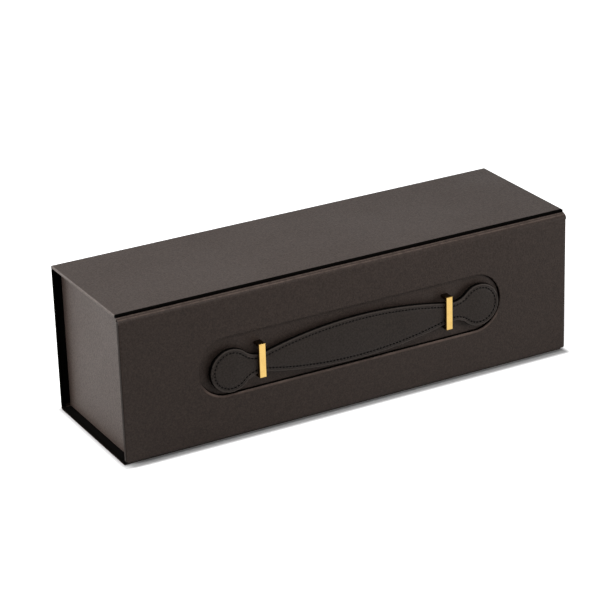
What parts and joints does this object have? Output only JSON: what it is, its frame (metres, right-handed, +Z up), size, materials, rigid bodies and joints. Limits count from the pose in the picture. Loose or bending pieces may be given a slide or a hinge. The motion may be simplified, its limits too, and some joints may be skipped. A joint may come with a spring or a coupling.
{
  "type": "wine gift box",
  "caption": "Long paper-wrapped gift box for a lying wine bottle, with hinged lid, fold-down front flap and a leather strap handle under brass loops in a recess.",
  "frame": {"origin": "centre of the bounding box in plan, on the surface it rests on", "axes": "+X along the box, -Y out of the handle side, +Z up"},
  "size_m": [0.345, 0.112, 0.1074],
  "materials": {
    "case_paper": "satin leatherette",
    "lining_paper": "matt",
    "greyboard": "matt",
    "foam": "matt",
    "cradle_cloth": "satin",
    "magnet": "satin",
    "steel": "satin",
    "brass": "polished",
    "strap_leather": "smooth",
    "strap_lining": "matt"
  },
  "bodies": {
    "root": {"back_board": "greyboard", "back_lining": "lining_paper", "back_wrap": "case_paper", "base_board": "greyboard", "base_crease": "case_paper", "base_lining": "lining_paper", "base_wrap": "case_paper", "cradle_cloth": "cradle_cloth", "cradle_foam": "foam", "lid_crease": "case_paper", "tray_back_wall": "greyboard", "tray_floor": "greyboard", "tray_front_wall": "greyboard", "tray_left_end": "greyboard", "tray_lining": "lining_paper", "tray_magnets": "magnet", "tray_right_end": "greyboard", "tray_wrap": "case_paper"},
    "lid": {"lid_board": "greyboard", "lid_wrap": "case_paper", "lid_lining": "lining_paper", "flap_crease": "case_paper"},
    "flap": {"flap_face_board": "greyboard", "flap_inner_board": "greyboard", "flap_wrap": "case_paper", "flap_lining": "lining_paper", "flap_magnets": "magnet", "handle_loop_left": "brass", "handle_loop_right": "brass", "loop_plate_left": "steel", "loop_plate_right": "steel"},
    "strap_left_end": {"strap_face_left_end": "strap_leather", "strap_back_left_end": "strap_lining"},
    "strap_left_web": {"strap_face_left_web": "strap_leather", "strap_back_left_web": "strap_lining"},
    "strap_grip": {"strap_face_grip": "strap_leather", "strap_back_grip": "strap_lining"},
    "strap_right_web": {"strap_face_right_web": "strap_leather", "strap_back_right_web": "strap_lining"},
    "strap_right_end": {"strap_face_right_end": "strap_leather", "strap_back_right_end": "strap_lining"}
  },
  "joints": [
    {"name": "lid_hinge", "type": "hinge", "parent": "root", "child": "lid", "pos_m": [0, 0.05525, 0.1059], "axis": [-1, 0, 0], "range_deg": [0, 180]},
    {"name": "flap_hinge", "type": "hinge", "parent": "lid", "child": "flap", "pos_m": [0, -0.046, 0.1044], "axis": [-1, 0, 0], "range_deg": [0, 90]},
    {"name": "handle_lift", "type": "slide", "parent": "flap", "child": "strap_grip", "axis": [0, -0.995, 0.1], "range_m": [0, 0.024]},
    {"name": "strap_left_inner_fold", "type": "hinge", "parent": "strap_grip", "child": "strap_left_web", "pos_m": [-0.0159, -0.05055, 0.05298], "axis": [0.0122, 0, -0.9999], "range_deg": [0, 29.3]},
    {"name": "strap_left_outer_fold", "type": "hinge", "parent": "strap_left_web", "child": "strap_left_end", "pos_m": [-0.06389, -0.05355, 0.05239], "axis": [-0.0122, 0, 0.9999], "range_deg": [0, 29.3]},
    {"name": "strap_right_inner_fold", "type": "hinge", "parent": "strap_grip", "child": "strap_right_web", "pos_m": [0.0201, -0.05055, 0.05342], "axis": [-0.0122, 0, 0.9999], "range_deg": [0, 29.3]},
    {"name": "strap_right_outer_fold", "type": "hinge", "parent": "strap_right_web", "child": "strap_right_end", "pos_m": [0.0681, -0.05355, 0.05401], "axis": [0.0122, 0, -0.9999], "range_deg": [0, 29.3]}
  ],
  "couplings": [
    {"joint": "strap_left_inner_fold", "follows": "handle_lift", "rad_per_m": 21.235},
    {"joint": "strap_left_outer_fold", "follows": "handle_lift", "rad_per_m": 21.235},
    {"joint": "strap_right_inner_fold", "follows": "handle_lift", "rad_per_m": 21.235},
    {"joint": "strap_right_outer_fold", "follows": "handle_lift", "rad_per_m": 21.235}
  ]
}
